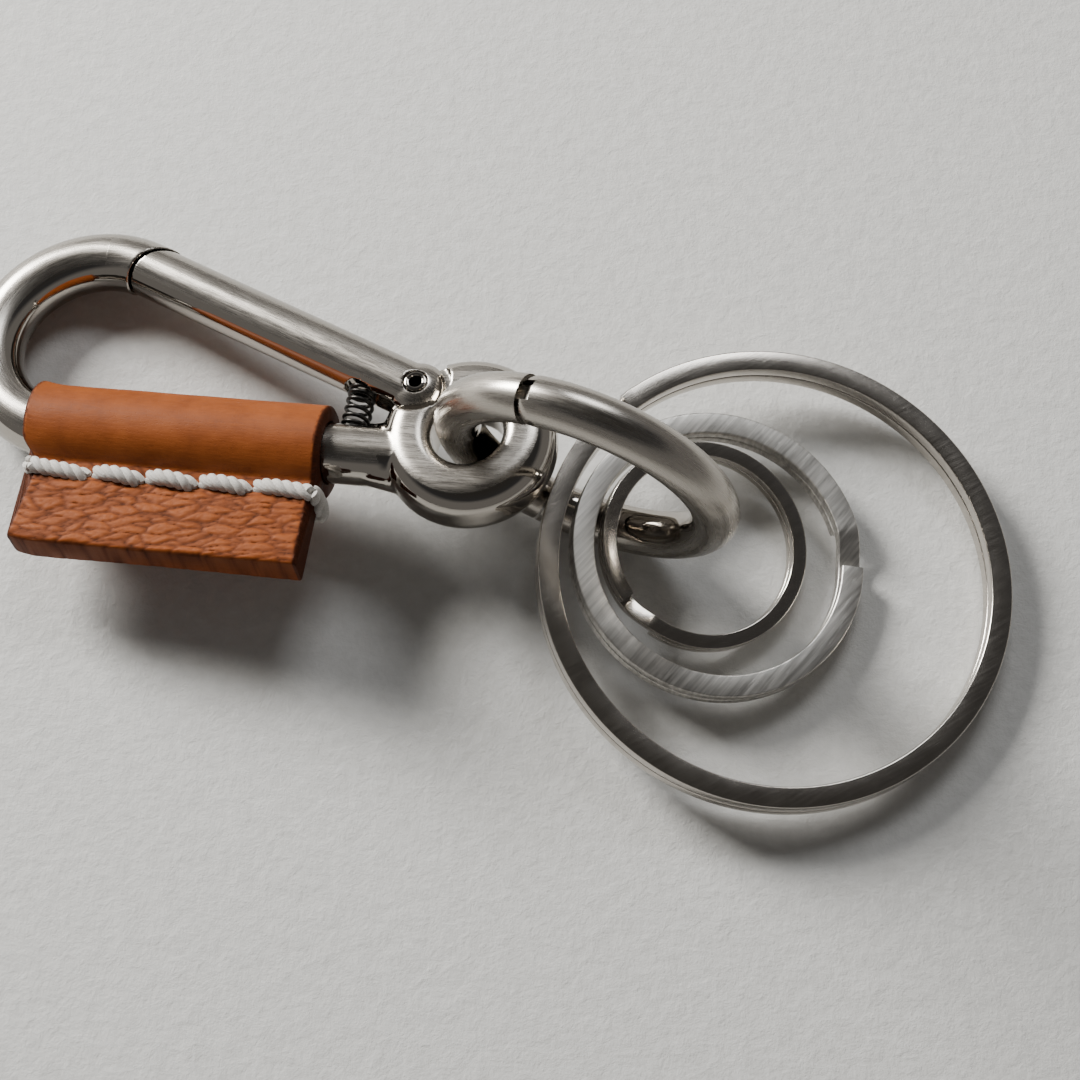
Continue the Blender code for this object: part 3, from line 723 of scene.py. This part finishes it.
def make_leather():
    first, last = -WRAP_START, WRAP_LENGTH - WRAP_START
    count = 150
    bm = bmesh.new()
    rows, notes = [], []
    edge = 0.35 * MM
    for k in range(count + 1):
        t = k / count
        distance = first + (last - first) * t
        inset = edge - math.sqrt(max(edge ** 2 - max(edge - (distance - first), edge - (last - distance), 0.0) ** 2, 0.0))
        station = along_wire(distance)
        ring = []
        outline = wrap_outline(t)
        for side, reach, part in outline:
            along_mm = (distance - first) / MM
            across_mm = reach / MM
            length = math.hypot(side, reach)
            crease = grain_height(along_mm, across_mm + (40 if side < 0 else 0))
            on_fin = step_between(reach, 5.7 * MM, 6.6 * MM) * (1 if part <= 1.0 else max(0.0, 2.0 - part))
            lift = (crease - 0.8) * 0.15 * MM * on_fin
            gentle = 0.03 * MM * noise.noise(Vector((along_mm * 0.25, side / MM * 0.5, reach / MM * 0.5)))
            out = Vector((side, reach, 0.0))
            direction = Vector((1.0 if side > 0 else -1.0, 0, 0)) if reach > WRAP_RADIUS * 0.93 and part >= 1.0 else out.normalized()
            moved = out + direction * (lift + gentle - inset)
            u = moved.y
            v = moved.x
            across = Vector((0.0, math.cos(FIN_ANGLE) * u + math.sin(FIN_ANGLE) * v,
                             math.sin(FIN_ANGLE) * u - math.cos(FIN_ANGLE) * v))
            across.x += fin_inset(t, reach)
            ring.append(station @ across)
            end = 1.0 - step_between(min(distance - first, last - distance), 0.25 * MM, 0.6 * MM)
            notes.append((max(part, 2.0 * end), crease, Vector((along_mm, across_mm, side / MM))))
        rows.append(ring)
    made = skin(bm, rows, caps=False)
    # The bore, and the cut ends between it and the outside.
    inner = []
    points = len(rows[0])
    for k in range(0, count + 1, 5):
        station = along_wire(first + (last - first) * k / count)
        ring = []
        for side, reach, part in wrap_outline(0.5):
            direction = Vector((side, reach, 0)).normalized() * WRAP_BORE
            ring.append(station @ Vector((0.0, math.cos(FIN_ANGLE) * direction.y + math.sin(FIN_ANGLE) * direction.x,
                                          math.sin(FIN_ANGLE) * direction.y - math.cos(FIN_ANGLE) * direction.x)))
            notes.append((2.0, 0.5, Vector((k * 0.2, 0.0, 0.0))))
        inner.append([bm.verts.new(p) for p in ring])
    for low, high in zip(inner, inner[1:]):
        for i in range(points):
            j = (i + 1) % points
            bm.faces.new((low[i], high[i], high[j], low[j]))
    for outer_row, inner_row in ((made[0], inner[0]), (made[-1], inner[-1])):
        for i in range(points):
            j = (i + 1) % points
            bm.faces.new((outer_row[i], outer_row[j], inner_row[j], inner_row[i]))
    wrap = object_of("leather_grip", bm, HOOK, "leather_tan", 50)
    part = wrap.data.attributes.new("part", "FLOAT", "POINT")
    crease = wrap.data.attributes.new("crease", "FLOAT", "POINT")
    flat = wrap.data.attributes.new("flat", "FLOAT_VECTOR", "POINT")
    for i, (kind, deep, where) in enumerate(notes):
        part.data[i].value, crease.data[i].value, flat.data[i].vector = kind, deep, where
    return place_piece(wrap, "hook", "leather_tan", "leather_wrap")


def rope(bm, centres, thickness, plies=3, pitch=3.0 * MM, sides=10):
    """A twisted thread: plies wound round a centre line."""
    frames = frames_along(centres, Vector((0.05, 0.1, 1.0)))
    travelled = [0.0]
    for a, b in zip(centres, centres[1:]):
        travelled.append(travelled[-1] + (b - a).length)
    for ply in range(plies):
        line = []
        for place, run in zip(frames, travelled):
            turn = 2 * math.pi * (run / pitch + ply / plies)
            line.append(place @ Vector((thickness * 0.5 * math.cos(turn), thickness * 0.5 * math.sin(turn), 0)))
        ends = travelled[-1]

        def radius(t, whole=ends):
            taper = min(1.0, min(t, 1 - t) * whole / (0.25 * MM) + 0.45)
            return thickness * 0.56 * taper
        tube(bm, frames_along(line, Vector((0.05, 0.1, 1.0))), radius, sides)


def fin_point(distance, reach, height):
    """A point on the fin: reach from the shank's axis, height above the fin's middle."""
    across = Vector((0.0, math.cos(FIN_ANGLE) * reach + math.sin(FIN_ANGLE) * height,
                     math.sin(FIN_ANGLE) * reach - math.cos(FIN_ANGLE) * height))
    return along_wire(distance) @ across


def make_stitches():
    """Saddle stitches on both faces, meeting in each hole, and one over each end of the seam."""
    bm = bmesh.new()
    first, last = 1.7 * MM - WRAP_START, WRAP_LENGTH - WRAP_START - 0.3 * MM
    holes = 6
    surface = FIN_HALF * 0.84
    stitch = (last - first) / 5.15
    begin = first + (last - first - stitch * 5) / 2
    edges = [begin + stitch * i for i in range(holes)]
    for face in (1, -1):
        for i, (a, b) in enumerate(zip(edges, edges[1:])):
            a = first - 0.35 * MM if i == 0 else a + 0.4 * MM
            b = last + 0.35 * MM if i == 4 else b - 0.4 * MM
            line = []
            for k in range(31):
                t = k / 30
                rise = math.sin(math.pi * t) ** 0.45 * 0.95 * MM - 0.55 * MM
                slant = (t - 0.5) * 0.5 * MM
                if (i == 0 and t < 0.5) or (i == 4 and t > 0.5):
                    rise = 0.4 * MM
                line.append(fin_point(a + (b - a) * t, STITCH_REACH + slant, face * (surface + rise)))
            rope(bm, line, THREAD)
    for distance, sign in ((first, -1), (last, 1)):
        line = []
        for k in range(25):
            turn = math.pi * k / 24
            out = sign * (0.35 + 0.28 * math.sin(turn)) * MM
            slant = (0.25 if sign > 0 else -0.25) * MM
            line.append(fin_point(distance + out, STITCH_REACH + slant, (surface + 0.4 * MM) * math.cos(turn)))
        rope(bm, line, THREAD)
    thread = object_of("saddle_stitches", bm, HOOK, "thread_white")
    return place_piece(thread, "hook", "thread_white", "seam_thread")


# ---------------------------------------------------------------- rings


def ring_tube(start, end, count):
    bm = bmesh.new()
    points = [on_ring(start + (end - start) * i / count) for i in range(count + 1)]
    tube(bm, frames_along(points), RING_WIRE, 72)
    return bm


def catch_place(angle):
    return Matrix.Translation(on_ring(angle)) @ turn_about("Y", math.pi / 2)


def ring_paint(obj):
    """Satin all round except on the inner side, which is left bright."""
    back = RING.inverted()

    def satin(point, normal):
        local, n = back @ point, back.to_3x3() @ normal
        inward = -(n.x * local.x + n.y * local.y) / max(math.hypot(local.x, local.y), 1e-6)
        return 1.0 - step_between(inward, 0.62, 0.72)

    def grain(point):
        local = back @ point
        return Vector((math.atan2(local.y, local.x) * RING_RADIUS, math.hypot(local.x, local.y), local.z))
    paint(obj, satin, grain)


def make_fixed_half():
    hinge = on_ring(RING_HINGE)
    face = RING_CATCH - CATCH_GAP / 2 / RING_RADIUS
    centre = Matrix.Translation(hinge) @ turn_about("Z", RING_HINGE + math.pi / 2)
    half = helper(ring_tube(RING_HINGE, face, 96))
    bm = combine(half, ("DIFFERENCE", [ball(RING_WIRE + 0.3 * MM, hinge),
                                       round_bar(1.05 * MM, 3.8 * MM, catch_place(face), 40)]),
                 ("UNION", [round_bar(1.5 * MM, 1.4 * MM, centre, 64),
                            block((3.2 * MM, 2.4 * MM, 1.4 * MM), centre @ Matrix.Translation((2.2 * MM, 0, 0)))]),
                 ("DIFFERENCE", [round_bar(0.55 * MM, 4 * MM, centre, 40)]))
    obj = object_of("fixed_half_ring", bm, RING, "steel_satin")
    ring_paint(obj)
    return place_piece(obj, "ring_fixed", "steel_satin", "ring_fixed_half")


def make_swing_half():
    hinge = on_ring(RING_HINGE)
    face = RING_CATCH + CATCH_GAP / 2 / RING_RADIUS - 2 * math.pi
    away = Matrix.Translation(hinge) @ turn_about("Z", RING_HINGE + math.pi / 2)
    half = helper(ring_tube(face, RING_HINGE, 150))
    bm = combine(half, ("UNION", [ball(RING_WIRE, hinge), round_bar(0.8 * MM, 3 * MM, catch_place(face), 40)]),
                 ("DIFFERENCE", [round_bar(1.7 * MM, 1.9 * MM, away, 64),
                                 block((4 * MM, 6 * MM, 1.9 * MM), away @ Matrix.Translation((2 * MM, 0, 0))),
                                 round_bar(0.52 * MM, 6 * MM, away, 40)]))
    obj = object_of("swing_half_ring", bm, RING, "steel_satin")
    ring_paint(obj)
    return place_piece(obj, "ring_swing", "steel_satin", "ring_swing_half")


def rest_tilt(height, middle, outer, thickness, lean):
    low, high = 0.0, math.radians(60)
    for _ in range(40):
        tilt = (low + high) / 2
        steepest = math.hypot(math.sin(tilt), math.cos(tilt) * math.sin(lean))
        if height - middle * math.sin(tilt) - outer * steepest > thickness / 2:
            low = tilt
        else:
            high = tilt
    return low


def flat_section(width, height, corner, count=4):
    """Outline of flat wire with rounded corners, as (across, up) points."""
    points = []
    for sx, sy, start in ((1, 1, 0), (-1, 1, 90), (-1, -1, 180), (1, -1, 270)):
        for i in range(count + 1):
            angle = math.radians(start + 90 * i / count)
            points.append((sx * (width / 2 - corner) + corner * math.cos(angle),
                           sy * (height / 2 - corner) + corner * math.sin(angle)))
    return points


def make_split_ring(name, look, slot, corner):
    outer, inner, thickness, place, heading, lean, top_end, joggle = SPLIT_RINGS[name]
    middle, heading, lean = (outer + inner) / 2, math.radians(heading), math.radians(lean)
    height = RING_CENTRE.z - math.sqrt(RING_RADIUS ** 2 - place ** 2) + RING_WIRE + SPLIT_CLEARANCE + thickness / 2
    along = Vector((math.cos(RING_HEADING), math.sin(RING_HEADING), 0.0)) * place
    tilt = rest_tilt(height, middle, outer, thickness, lean)
    seat = (Matrix.Translation((RING_CENTRE.x + along.x, RING_CENTRE.y + along.y, height)) @ turn_about("Z", heading)
            @ turn_about("Y", tilt) @ turn_about("X", lean) @ Matrix.Translation((middle, 0, 0)))
    coil = (thickness - COIL_GAP) / 2
    level, ramp = (coil + COIL_GAP) / 2, joggle / middle
    section = flat_section(outer - inner, coil, corner)
    start, whole = math.radians(top_end) + ramp, 4 * math.pi - ramp
    count = 420
    rings = []
    for i in range(count + 1):
        by = whole * i / count
        step = step_between(by, 2 * math.pi - ramp, 2 * math.pi)
        ends = min(by, whole - by) * middle
        shrink = 1.0 if ends > corner else 1.0 - 0.5 * corner / (outer - inner) * (1 - ends / corner)
        angle = start + by
        out = Vector((math.cos(angle), math.sin(angle), 0.0))
        rings.append([out * (middle + a * shrink) + Vector((0, 0, level * (2 * step - 1) + b * shrink))
                      for a, b in section])
    bm = bmesh.new()
    skin(bm, rings)
    obj = object_of(name + "_split_ring", bm, Matrix(), look, 50)
    # Its points stay in the ring's own frame, so that its brushing lines keep to the flat faces.
    obj.data.transform(seat)
    return place_piece(obj, "split_" + name, slot, "split_ring_" + name)


# ---------------------------------------------------------------- scene


def area_light(name, place, aim, size, power, colour):
    data = bpy.data.lights.new(name, "AREA")
    data.shape = "RECTANGLE"
    data.size, data.size_y = size
    data.energy = power
    data.color = colour
    light = bpy.data.objects.new(name, data)
    light.location = place
    light.rotation_euler = (Vector(aim) - Vector(place)).to_track_quat("-Z", "Y").to_euler()
    bpy.context.scene.collection.objects.link(light)


def make_stage():
    bm = bmesh.new()
    bmesh.ops.create_grid(bm, x_segments=1, y_segments=1, size=0.9)
    floor = object_of("floor", bm, Matrix(), None, 0)
    floor.data.materials.append(paper("felted_paper"))
    area_light("window", (-0.40, 0.36, 0.29), (0.0, 0.0, 0.0), (0.20, 0.24), 9.0, (1.0, 0.985, 0.95))
    area_light("room", (0.10, 0.45, 0.55), (0.0, 0.0, 0.0), (0.3, 0.2), 1.6, (0.96, 0.98, 1.0))
    world = bpy.context.scene.world or bpy.data.worlds.new("room")
    bpy.context.scene.world = world
    world.use_nodes = True
    tree = world.node_tree
    background = tree.nodes["Background"]
    coordinates = tree.nodes.new("ShaderNodeTexCoord")
    split = tree.nodes.new("ShaderNodeSeparateXYZ")
    ramp = tree.nodes.new("ShaderNodeValToRGB")
    tree.links.new(coordinates.outputs["Generated"], split.inputs["Vector"])
    tree.links.new(split.outputs["Z"], ramp.inputs["Fac"])
    tree.links.new(ramp.outputs["Color"], background.inputs["Color"])
    elements = ramp.color_ramp.elements
    elements[0].position, elements[0].color = 0.48, (0.26, 0.25, 0.24, 1)
    elements[1].position, elements[1].color = 0.66, (0.055, 0.055, 0.058, 1)
    top = elements.new(0.95)
    top.color = (0.05, 0.047, 0.043, 1)
    background.inputs["Strength"].default_value = 1.0


def make_camera():
    data = bpy.data.cameras.new("camera")
    data.lens, data.sensor_width = CAMERA_LENS, 36.0
    data.clip_start, data.clip_end = 0.001, 10.0
    camera = bpy.data.objects.new("camera", data)
    camera.location = AIM + CAMERA_OFFSET
    camera.rotation_euler = (-CAMERA_OFFSET).to_track_quat("-Z", "Y").to_euler()
    bpy.context.scene.collection.objects.link(camera)
    bpy.context.scene.camera = camera


HOOK_BACK = HOOK.inverted()
GATE_BACK = (HOOK @ GATE).inverted()

make_stage()
make_camera()
make_hook()
make_gate()
make_rivet()
make_spring()
make_leather()
make_stitches()
make_fixed_half()
make_swing_half()
make_split_ring("large", "wire_polished", "steel_polished", 0.16 * MM)
make_split_ring("medium", "steel_brushed", "steel_brushed", 0.16 * MM)
make_split_ring("small", "wire_polished", "steel_polished", 0.14 * MM)

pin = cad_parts["ring_hinge_pin"]
pin.data.materials.clear()
pin.data.materials.append(LOOKS["wire_polished"])
